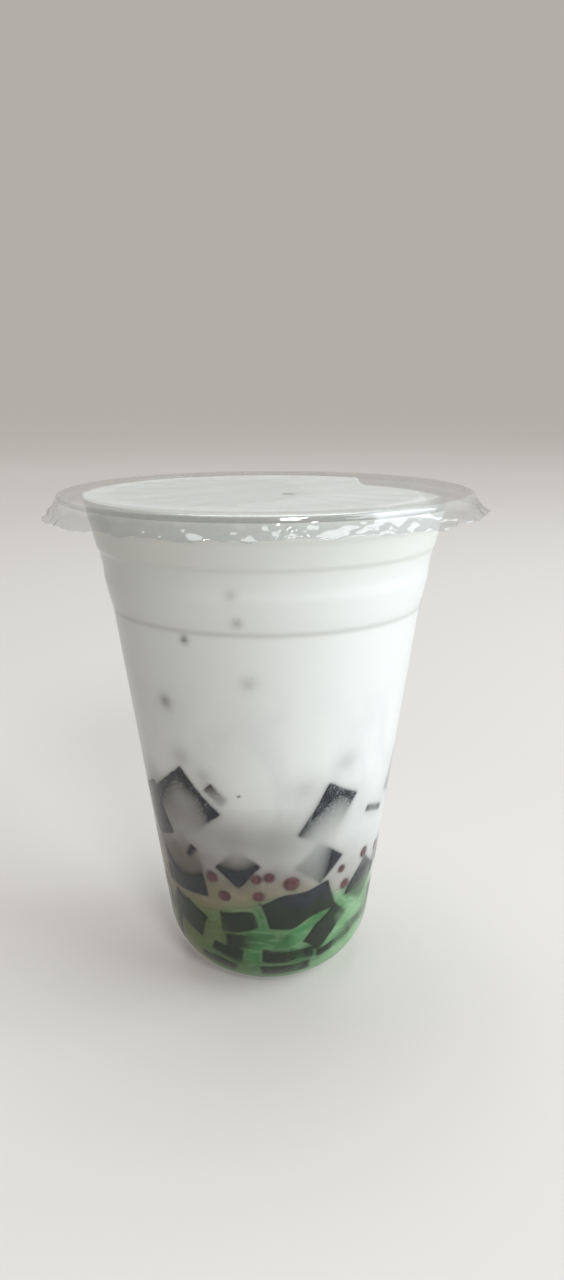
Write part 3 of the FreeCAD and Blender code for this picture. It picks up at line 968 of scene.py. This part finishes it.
def cut_edge(direction):
    """How unevenly the film was cut and torn, in mm: two slow waves and two sharp ones."""
    turn = direction / (2 * math.pi)
    slow = 0.3 * np.sin(2 * direction + 0.8) + 0.2 * np.sin(7 * direction)
    return slow + 0.22 * folded(23 * turn + 0.2) + 0.16 * folded(61 * turn + 0.6)


print(f"the cut edge strays by {np.ptp(cut_edge(np.linspace(0, 2 * math.pi, 500))):.1f} in all")

# %% The film
FILM, SLACK, GLUE = 0.09, 0.12, 0.02  # thickness, air round the lip, and height of the weld
SKIRT_DROP, SKIRT_FLARE = 4.4, 2.7  # how far it hangs, and how much wider it ends
FILM_COLUMNS = 480
LIP_AT = RIM_RADIUS - BEAD  # where the film starts to wrap round the lip
MOUTH = wall_corners(WALL, CUP_HEIGHT)[-1][0]  # radius of the opening


def film_disc(a):
    """Radius and height of the flat film out to the lip: ripples pulled in from the weld and a
    slight sag over the opening, and a groove where the hot ring pressed it."""
    steps = np.concatenate([np.linspace(0, MOUTH - 3, 16), np.linspace(MOUTH - 2.4, LIP_AT, 14)])
    radius = steps[:, None] + 0 * a
    free = eased(MOUTH - radius, 0, 6)
    ripple = 0.05 * np.sin(23 * a + 4 * np.sin(2 * a)) * eased(radius, 12, MOUTH) * free
    sag = -0.22 * eased(MOUTH - radius, 0, 14) + 0.04 * np.sin(0.4 * radius * np.cos(a - 0.7))
    groove = -0.05 * np.exp(-((radius - MOUTH - 2.2) / 0.5) ** 2)
    return radius, CUP_HEIGHT + FILM + GLUE + ripple + sag * free + groove


def film_wrap(a):
    """Radius and height of the film round the lip: a quarter turn that lifts off by SLACK."""
    angle = np.linspace(math.pi / 2, 0, 7)[1:]
    reach = BEAD + FILM + SLACK * np.linspace(0, 1, 6)
    return (LIP_AT + (reach * np.cos(angle))[:, None] + 0 * a,
            CUP_HEIGHT - BEAD + (reach * np.sin(angle))[:, None] + 0 * a)


def film_skirt(a):
    """Radius and height of the hanging film, flared and creased down to its cut edge."""
    hang = np.linspace(0, 1, 13)[1:, None]
    flare = SKIRT_FLARE * hang ** 1.3 + creases(a, hang)
    depth = SKIRT_DROP - BEAD - cut_edge(a)
    return LIP_AT + BEAD + FILM + SLACK + flare, CUP_HEIGHT - BEAD - depth * hang


def film_top():
    """Grid of the film's upper side, from the middle out over the lip and down the skirt."""
    a = np.arange(FILM_COLUMNS) * 2 * math.pi / FILM_COLUMNS
    pairs = film_disc(a), film_wrap(a), film_skirt(a)
    radius, height = (np.concatenate(part) for part in zip(*pairs))
    return np.stack([radius * np.sin(a), -radius * np.cos(a), height], -1)


def thickened(grid, thickness):
    """A grid and its underside in one, joined along the outer edge. The underside is the grid
    moved against the normal, which is the cross product of its two slopes."""
    ahead = np.roll(grid, -1, 1) - np.roll(grid, 1, 1)
    down = np.gradient(grid, axis=0)
    normal = np.cross(down, ahead)
    normal /= np.maximum(np.linalg.norm(normal, axis=-1), 1e-9)[..., None]
    normal[0] = (0, 0, 1)
    return np.concatenate([grid, (grid - thickness * normal)[::-1]])


film = put("sealing_film", *capped(thickened(film_top(), FILM)))

# %% [markdown]
# ## The finishes
# A finish is a small network of nodes, and most of it is arithmetic on numbers that vary over a
# surface. Written with nodes that is long, so one class wraps an output and lets it be added,
# multiplied and so on as in ordinary Python: each sign adds a Math node. Colours are never
# reckoned with this way, because a Math node would turn them grey; they are mixed instead.

# %% Arithmetic with nodes
class Flow:
    """One output of a node. Reckoning with it adds a Math node to the same network."""

    def __init__(self, tree, socket):
        self.tree, self.socket = tree, socket

    def reckon(self, operation, other=0.0, turned_round=False):
        node = self.tree.nodes.new("ShaderNodeMath")
        node.operation = operation
        pair = (other, self) if turned_round else (self, other)
        for socket, value in zip(node.inputs, pair):
            plug(self.tree, socket, value)
        return Flow(self.tree, node.outputs[0])

    def __add__(self, other):
        return self.reckon("ADD", other)

    def __radd__(self, other):
        return self.reckon("ADD", other)

    def __sub__(self, other):
        return self.reckon("SUBTRACT", other)

    def __rsub__(self, other):
        return self.reckon("SUBTRACT", other, True)

    def __mul__(self, other):
        return self.reckon("MULTIPLY", other)

    def __rmul__(self, other):
        return self.reckon("MULTIPLY", other)

    def __truediv__(self, other):
        return self.reckon("DIVIDE", other)

    def __rtruediv__(self, other):
        return self.reckon("DIVIDE", other, True)

    def __pow__(self, other):
        return self.reckon("POWER", other)

    def __rpow__(self, other):
        return self.reckon("POWER", other, True)

    def least(self, other):
        """The smaller of the two."""
        return self.reckon("MINIMUM", other)

    def most(self, other):
        """The larger of the two."""
        return self.reckon("MAXIMUM", other)

    def held(self):
        """Held between 0 and 1."""
        return self.least(1.0).most(0.0)

    def size(self):
        """Without its sign."""
        return self.reckon("ABSOLUTE")

    def above(self, low, high):
        """0 at low, 1 at high, a straight slope between them; high may be the smaller."""
        return ((self - low) / (high - low)).held()


def plug(tree, socket, value):
    """Links a flow to a socket, or sets the socket to a plain number or colour."""
    if isinstance(value, Flow):
        tree.links.new(value.socket, socket)
    elif isinstance(value, tuple) and len(value) == 3 and socket.type == "RGBA":
        socket.default_value = (*value, 1.0)
    else:
        socket.default_value = value


print("signs that add a node:", [name for name in vars(Flow) if name.startswith("__r")])

# %% Networks
class Network:
    """The nodes of a material or of the world, under construction."""

    def __init__(self, owner):
        owner.use_nodes = True
        self.tree = owner.node_tree
        self.tree.nodes.clear()

    def node(self, kind, settings=None, values=None, out=0):
        """A node of this kind, with its settings made first, then its sockets."""
        node = self.tree.nodes.new(kind)
        for name, value in (settings or {}).items():
            if name == "stops":
                self.set_stops(node.color_ramp.elements, value)
            else:
                setattr(node, name, value)
        for socket, value in (values or {}).items():
            plug(self.tree, node.inputs[socket], value)
        return Flow(self.tree, node.outputs[out]) if node.outputs else None

    def set_stops(self, elements, stops):
        while len(elements) < len(stops):
            elements.new(0.5)
        for element, (at, colour) in zip(elements, stops):
            element.position, element.color = at, (*colour, 1.0)

    def mix(self, one, two, share):
        """Colour one where share is 0, and colour two where it is 1."""
        return self.node("ShaderNodeMix", {"data_type": "RGBA"}, {0: share, 6: one, 7: two}, 2)

    def seen(self):
        """1 where the camera looks, straight or by way of gloss or glass, and 0 for light."""
        camera, gloss, glass = (self.node("ShaderNodeLightPath", out=f"Is {ray} Ray")
                                for ray in ("Camera", "Glossy", "Transmission"))
        return camera.most(gloss).most(glass)


print("a network has", [name for name in vars(Network) if not name.startswith("_")])

# %% Finishes
class Finish(Network):
    """A material. across, ahead and height are the place on the piece, in mm."""

    def __init__(self, name):
        self.material = bpy.data.materials.new(name)
        super().__init__(self.material)
        self.place = self.node("ShaderNodeTexCoord", out="Object")
        self.across, self.ahead, self.height = (
            self.node("ShaderNodeSeparateXYZ", values={"Vector": self.place}, out=axis) / MM
            for axis in "XYZ")

    def from_axis(self):
        """Distance from the cup's axis, in mm."""
        return (self.across * self.across + self.ahead * self.ahead) ** 0.5

    def told(self, name):
        """The numbers noted on the piece under this name."""
        return self.node("ShaderNodeAttribute", {"attribute_name": name}, out="Fac")

    def noise(self, size, detail=2.0, rough=0.5, seed=0.0, stretch=(1, 1, 1)):
        """Cloudy unevenness, about 0 to 1, whose patches are about this size in mm."""
        place = self.node("ShaderNodeMapping", values={
            "Vector": self.place, "Location": (seed, 2 * seed, -seed), "Scale": stretch})
        values = {"Vector": place, "Scale": 1 / (size * MM), "Detail": detail, "Roughness": rough}
        return self.node("ShaderNodeTexNoise", values=values)

    def body(self, colour, roughness, specular=0.5):
        """The everyday shader for what isn't see-through."""
        return self.node("ShaderNodeBsdfPrincipled", values={
            "Base Color": colour, "Roughness": roughness, "Specular IOR Level": specular})

    def blend(self, one, two, share):
        """Shader one where share is 0, and shader two where it is 1."""
        return self.node("ShaderNodeMixShader", values={0: share, 1: one, 2: two})

    def surface(self, shader):
        """The finished material."""
        self.node("ShaderNodeOutputMaterial", values={"Surface": shader})
        return self.material


def dress(piece, material):
    """Gives a piece its material, its body and the slot that it takes its finish from."""
    piece.data.materials.append(material)
    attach(piece, "root")
    print(piece.name, "wears", material.name)


print("a finish also has", [name for name in vars(Finish) if not name.startswith("_")])

# %% [markdown]
# ## The drink's finish
# Milk and syrup share one recipe, so that the colour runs on from one piece to the other. The
# liquid is worked out first: milk that turns murky, then syrup that goes from olive through leaf
# green to mint. Light and shade are painted into both: darker at the left, lighter and paler at
# the right. Jelly and pearls show through it by the numbers noted on the skin. It is a plain
# body rather than a see-through one, because that was worked out once for all, in numpy.

# %% Milk
MILK, SHADE_UNDER_LIP = (0.81, 0.83, 0.82), (0.81, 0.815, 0.735)  # most of it, and near the lip, tinted as painted shade and light through the skirt
THINNED = (0.6, 0.61, 0.64)  # veins where melted ice has thinned it
TOP_SHADE, FLECK = (0.72, 0.75, 0.735), (0.2, 0.21, 0.2)  # its top, painted darker in the middle as shade, and a crumb
MURKY_SHADE, MURKY_SHADE_BELOW = (0.19, 0.168, 0.15), (0.23, 0.205, 0.13)  # stained by the jelly, and painted shade where it lies at the left
TOP_REACH = float(np.hypot(*top[0, 0, :2])) - 1  # how far from the axis the top goes


def milk_colour(f, murk, cloud):
    """White, tinted beige near the lip as painted shade of the flange and light through the film's
    skirt, veined half way down and murky low down. Its top is painted darker in the middle as
    shade, and carries one dark crumb."""
    inside = 1 - f.from_axis().above(TOP_REACH - 1, TOP_REACH)
    on_top = f.height.above(FILL_HEIGHT - 4, FILL_HEIGHT - 3) * inside
    # painted shade and light: warmer beige from 103 mm up, not on the top
    milk = f.mix(MILK, SHADE_UNDER_LIP, f.height.above(103, 108) * (1 - on_top) * 0.4)
    swirls = f.noise(15, 3, 0.5, seed=7, stretch=(1, 1, 0.5))
    half_way = f.height.above(38, 50) * (1 - f.height.above(70, 84))
    milk = f.mix(milk, THINNED, (1 - 9 * (swirls - 0.5).size()).held() * half_way * 0.25)
    # murk: stain from the jelly, and painted shade at the left
    milk = f.mix(milk, f.mix(MURKY_SHADE_BELOW, MURKY_SHADE, f.height.above(29, 35)), murk)
    # painted shade: the middle of the milk's top is darker
    top_shade = 1 - ((f.across + 13) / 24) ** 2 - ((f.ahead - 4) / 30) ** 2 + (cloud - 0.5)
    milk = f.mix(milk, TOP_SHADE, on_top * top_shade.above(0, 0.1))
    crumb = (1 - ((f.across - 5.2) / 1.8) ** 2 - ((f.ahead + 3) / 3) ** 2).above(0, 0.5)
    return f.mix(milk, FLECK, on_top * crumb * (0.4 + 0.6 * cloud))


print(f"the milk's top reaches {TOP_REACH:.1f} from the axis")

# %% Milk and syrup
# the syrup's green, painted from olive in the shade at the left to mint in the painted light at
# the right
OLIVE, LEAF, MINT = (0.15, 0.165, 0.06), (0.07, 0.26, 0.085), (0.31, 0.53, 0.3)
SHADE = (0.17, 0.15, 0.115), (0.15, 0.18, 0.185)  # milk before deep jelly, at the left and the right, as painted shade and light
GREEN_SHADE = (0.03, 0.07, 0.03)  # and syrup
STRAND_AND_GLINT = (0.25, 0.29, 0.17), (0.38, 0.6, 0.38)  # paler strands of syrup, and painted light at the cubes' outlines, left and right
JELLY_IN_MILK, JELLY_IN_SYRUP = (0.016, 0.018, 0.024), (0.012, 0.022, 0.01)
SPECKLE = (0.32, 0.36, 0.38)  # specks of milk between jelly and wall
PEARL = (0.085, 0.028, 0.031)


def drink_finish(name):
    """The liquid, painted with light and shade, darkened by what lies deep, with painted light at
    the cubes' outlines, then jelly over it and pearls over both.
    """
    f = Finish(name)
    green, murk, bright, jelly, pearl, deep, lit = (
        f.told(n) for n in ("green", "murk", "bright", "jelly", "pearl", "deep", "lit"))
    cloud = f.noise(7, 4, 0.6)
    murk = (murk + (cloud - 0.5) * 0.6 * murk).held()
    # painted light: the syrup goes from olive at the left to mint at the right
    stops = {"stops": ((0.0, OLIVE), (0.5, LEAF), (1.0, MINT))}
    syrup = f.node("ShaderNodeValToRGB", stops, {0: bright + (cloud - 0.5) * 0.3})
    liquid = f.mix(milk_colour(f, murk, cloud), syrup, green)
    # the shade of deep jelly is warmer at the left and cooler at the right, as painted light
    shadow = f.mix(f.mix(*SHADE, bright), GREEN_SHADE, green)
    liquid = f.mix(liquid, shadow, (deep * 0.8).held())
    strands = f.noise(9, 3, 0.6, seed=9, stretch=(1, 1, 2.4))
    # strands show more where painted light falls; painted light also lines the cubes' outlines
    strand = (1 - 18 * (strands - 0.5).size()).held() * green * (0.4 + 0.6 * bright)
    lit = (lit * cloud.above(0.4, 0.6) * f.height.above(30, 26)).held().most(strand)
    liquid = f.mix(liquid, f.mix(*STRAND_AND_GLINT, bright), lit * 0.45)
    frost = f.noise(0.7, 2, 0.6, seed=3).above(0.5, 0.7) * f.height.above(42, 50)
    dark = f.mix(JELLY_IN_MILK, JELLY_IN_SYRUP, green)
    # the specks of milk show more at the right, under painted light
    dark = f.mix(dark, SPECKLE, (frost * (0.4 + 0.6 * bright)).held())
    return f.surface(f.body(f.mix(f.mix(liquid, dark, jelly), PEARL, pearl), 0.45, 0.05))


dress(milk, drink_finish("milk"))
dress(syrup, drink_finish("green syrup"))
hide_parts("milk")
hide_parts("green_syrup")

# %% [markdown]
# ## Jelly and pearls
# The jelly is nearly black, greener in the syrup, and milk creeps between it and the wall as a
# pale frost. The pearls are dark red and cloudy. Both touch the plastic, so they shine little
# themselves: the gloss in front of them is the cup's. Cloudy noise is enough for both, since
# their shapes already say what they are. On the jelly, the paler clouds and the frost are
# painted stronger at the right, as painted light.

# %% Jelly
SHEEN = (0.075, 0.088, 0.1), (0.035, 0.055, 0.03)  # paler jelly and painted sheen, in milk and in syrup
FROST = (0.34, 0.38, 0.4)


def jelly_finish():
    """Dark, with paler clouds painted stronger at the right as sheen, and frost on the cubes that
    lie high in the milk, stronger at the right under painted light.
    """
    f = Finish("dark jelly")
    green, bright = f.told("green"), f.told("bright")
    cloud = f.noise(3, 3, 0.55, seed=1)
    dark = f.mix(JELLY_IN_MILK, JELLY_IN_SYRUP, green)
    # painted sheen: the paler clouds grow stronger towards the right
    paler_and_sheen = (cloud.above(0.4, 0.8) * (0.25 + 0.5 * bright)).held()
    colour = f.mix(dark, f.mix(*SHEEN, green), paler_and_sheen)
    frost = f.noise(0.6, 2, 0.6, seed=3).above(0.53, 0.75) * cloud.above(0.35, 0.6)
    frost = frost * f.height.above(46, 54)
    # painted light: the frost shows more at the right
    colour = f.mix(colour, FROST, (frost * (0.5 + 0.5 * bright)).held())
    return f.surface(f.body(colour, 0.4, 0.07))


where = np.empty(len(jelly.data.vertices) * 3)
jelly.data.vertices.foreach_get("co", where)
where = where.reshape(-1, 3) / MM
# the jelly takes the same painted light from the right as the skin
jelly_green, _, jelly_painted_light = layers(where, np.arctan2(where[:, 0], -where[:, 1]))
note(jelly, "green", jelly_green)
note(jelly, "bright", jelly_painted_light)
dress(jelly, jelly_finish())
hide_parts("milk")

# %% Red pearls
def pearl_finish():
    """Dark red, with paler clouds."""
    f = Finish("red pearl")
    cloud = f.noise(1.1, 2, 0.5, seed=5).above(0.35, 0.75)
    return f.surface(f.body(f.mix((0.06, 0.02, 0.022), (0.17, 0.06, 0.065), cloud), 0.35, 0.2))


dress(pearl_piece, pearl_finish())
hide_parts("milk")

# %% [markdown]
# ## Clear plastic
# The cup and the film let nearly all light through. What shows them is gloss, which grows where
# the surface is seen edge on, folds that bend the light away, painted as a grey tint of shade,
# and a faint milky haze left by the forming, with a painted highlight of the same white in the
# lip's roll. So each is a see-through shader mixed with a mirror, and that mixed with a soft
# white. Real refraction would cost far more light paths for a wall this thin.

# %% Clear plastic
CLEAR, HAZE = (0.985, 0.99, 0.989), (0.82, 0.84, 0.84)  # what it lets through, and its haze
EDGE_GLOSS = 0.75  # how much more it mirrors where it is seen edge on


def clear_finish(name, haze_and_highlight, fold_shade, shade_tint, gloss, gloss_rough):
    """The two functions of the finish give the share of soft white, which is haze and a painted
    highlight, and the share of the greyer tint, painted shade, that the plastic lets through. The
    mirror's share is gloss seen square on and rises with the fifth power of how edge-on the
    surface is seen. Faces seen from within the plastic mirror nothing, as the outer faces stand
    for both."""
    f = Finish(name)
    flat, folded = (f.node("ShaderNodeBsdfTransparent", values={"Color": tint})
                    for tint in (CLEAR, shade_tint))
    mirror = f.node("ShaderNodeBsdfGlossy", values={
        "Color": (1.0, 1.0, 1.0), "Roughness": gloss_rough})
    edge_on = f.node("ShaderNodeLayerWeight", out="Facing")
    outside = 1 - f.node("ShaderNodeNewGeometry", out="Backfacing")
    shine = (gloss + EDGE_GLOSS * edge_on ** 5) * outside
    clear = f.blend(f.blend(flat, folded, fold_shade(f)), mirror, shine)
    return f.surface(f.blend(clear, f.body(HAZE, 0.4), haze_and_highlight(f) * outside))


print(f"plastic seen edge on mirrors {EDGE_GLOSS:.0%} more than plastic seen square on")

# %% Cup and film
def cup_haze_and_highlight(f):
    """A little haze from the forming, and a painted highlight of soft white in the roll, which
    gathers light like a rod.
    """
    roll = f.from_axis().above(RIM_RADIUS - 1.5 * BEAD, RIM_RADIUS - 0.6 * BEAD)
    return (0.004 + 0.014 * f.noise(9, 3, 0.6) + 0.2 * roll).held()


def cup_fold_shade(f):
    """Painted shade: the shoulder, the rings and the roll bend the light away, so they are tinted
    greyer.
    """
    shade_at_folds = (1 - (f.height - SHOULDER_HEIGHT - 0.2).size() / 0.9).held()
    for drop, _, rise in RINGS[1:]:
        ring = CUP_HEIGHT - drop + rise / 2
        shade_at_folds = shade_at_folds.most((1 - (f.height - ring).size() / 0.7).held() * 0.2)
    return shade_at_folds.most(f.from_axis().above(RIM_RADIUS - BEAD, RIM_RADIUS - 0.3 * BEAD))


def film_haze(f):
    """Streaks left by the roll that the film came off."""
    streak = f.noise(2.2, 3, 0.6, seed=2).above(0.4, 0.8)
    return (0.012 + 0.06 * streak).held()


def skirt_shade(f):
    """Painted shade: the crumpled skirt is tinted a little greyer than the flat film."""
    return f.from_axis().above(RIM_RADIUS, RIM_RADIUS + 1)


# the cup's white in the roll is a painted highlight, and its grey at the folds painted shade
cup_plastic = clear_finish("clear cup", cup_haze_and_highlight, cup_fold_shade, (0.86, 0.855, 0.84), 0.03, 0.07)
film_plastic = clear_finish("sealing film", film_haze, skirt_shade, (0.9, 0.91, 0.92), 0.07, 0.09)
dress(cup, cup_plastic)
dress(film, film_plastic)
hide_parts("cup")
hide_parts("film_lid")

# %% [markdown]
# ## The floor
# The cup stands on a plain pale floor, one disc so wide that its edge is never seen. What the
# camera sees of it is lifted by a faint glow of its own colour, more so far away, so that it
# ends as a pale backdrop. Gloss and glass show the glow too, but it doesn't light the cup, and
# the floor keeps the cup's shadow.

# %% Floor
FLOOR = (0.56, 0.545, 0.52)
PALE, FAR = 0.27, 0.62  # the glow near the cup and far away, as shares of the floor's colour
FLOOR_COLUMNS = 64


def floor_disc():
    """Rings from 100 mm to 9 m, each farther out than the last by the same share, and a hub."""
    reach = np.concatenate([[0], np.geomspace(100, 9000, 9)])
    grid = turned(np.stack([reach, 0 * reach], 1), FLOOR_COLUMNS)
    points = np.concatenate([grid[1:].reshape(-1, 3), grid[:1, 0]])
    ring = np.arange(FLOOR_COLUMNS)
    hub = np.stack([ring, (ring + 1) % FLOOR_COLUMNS, 0 * ring + len(points) - 1], 1)
    faces = grid_faces(len(reach) - 1, FLOOR_COLUMNS)
    return meshed("floor", points, faces.tolist() + hub.tolist())


def floor_finish():
    """A dull colour, and the glow added to it for the camera only."""
    f = Finish("pale floor")
    near, far = (tuple(c * share for c in FLOOR) for share in (PALE, FAR))
    plain = f.node("ShaderNodeBsdfDiffuse", values={"Color": FLOOR})
    glow = f.mix(near, far, f.from_axis().above(150, 1500))
    paper = f.node("ShaderNodeEmission", values={"Color": glow})
    both = f.node("ShaderNodeAddShader", values={0: plain, 1: paper})
    return f.surface(f.blend(plain, both, f.seen()))


floor = floor_disc()
floor.data.materials.append(floor_finish())
print("the floor wears", floor.data.materials[0].name)

# %% [markdown]
# ## Light
# The light is soft and plain: a large cool panel at the right stands for a window, a small one
# in front for a lamp, a wide one above for a ceiling, and an even dim sky fills the shadows.
# Flat lamps are used because their size alone sets how soft the shadows are. The sky that the
# camera sees goes on from the colour of the floor.

# %% Light
AIM = (0, 0, 0.06)  # the middle of the cup, in metres


def panel(name, place, size, power, colour=(1, 1, 1)):
    """A flat lamp of this size in metres at place, facing AIM, unseen by the camera."""
    lamp = bpy.data.lights.new(name, "AREA")
    lamp.shape, lamp.size, lamp.size_y = "RECTANGLE", *size
    lamp.energy, lamp.color = power, colour
    holder = linked(name, lamp)
    x, y, z = np.array(place) - AIM
    holder.location = place
    holder.rotation_euler = (math.atan2(math.hypot(x, y), z), 0, math.atan2(y, x) + math.pi / 2)
    holder.visible_camera = False
    print(f"{name}: {power} W, {math.hypot(x, y, z):.2f} m away")


panel("window", (1.15, -0.25, 0.62), (1.1, 1.2), 16.5, (0.93, 1.0, 1.05))
panel("lamp", (0.25, -0.9, 0.75), (0.22, 0.3), 4.7)
panel("ceiling", (0.0, 0.25, 1.2), (0.9, 0.7), 7.5, (0.95, 1.0, 1.03))

# %% Sky
SKY = (0.19, 0.16, 0.135)

world = bpy.data.worlds.new("studio")
bpy.context.scene.world = world
studio = Network(world)
backdrop = tuple(c * (light + FAR) for c, light in zip(FLOOR, SKY))
shine = studio.node("ShaderNodeBackground", values={
    "Color": studio.mix(SKY, backdrop, studio.seen())})
studio.node("ShaderNodeOutputWorld", values={"Surface": shine})
print("the camera sees a backdrop of", [round(c, 2) for c in backdrop])

# %% [markdown]
# ## Camera
# The camera is held close and a little above the lip, which makes the cup look wide at the top
# and narrow at the foot. Its place is given, and it is tipped down, turned and rolled by small
# angles. The colours are shown as they are, with no film curve.

# %% Camera
CAMERA_PLACE = (0.0, -0.2161, 0.1412)
PITCH, YAW, ROLL = math.radians(15.17), math.radians(0.955), math.radians(-0.205)

lens = bpy.data.cameras.new("camera")
lens.lens, lens.sensor_width, lens.sensor_fit = 26.0, 36.0, "AUTO"
lens.clip_start = 0.01
camera = linked("camera", lens)
camera.location = CAMERA_PLACE
look = Euler((math.pi / 2 - PITCH, 0, -YAW)).to_matrix() @ Matrix.Rotation(ROLL, 3, "Z")
camera.rotation_euler = look.to_euler()
bpy.context.scene.camera = camera
bpy.context.scene.view_settings.view_transform = "Standard"
print(f"the camera is {math.hypot(*CAMERA_PLACE[:2]):.2f} m from the axis")
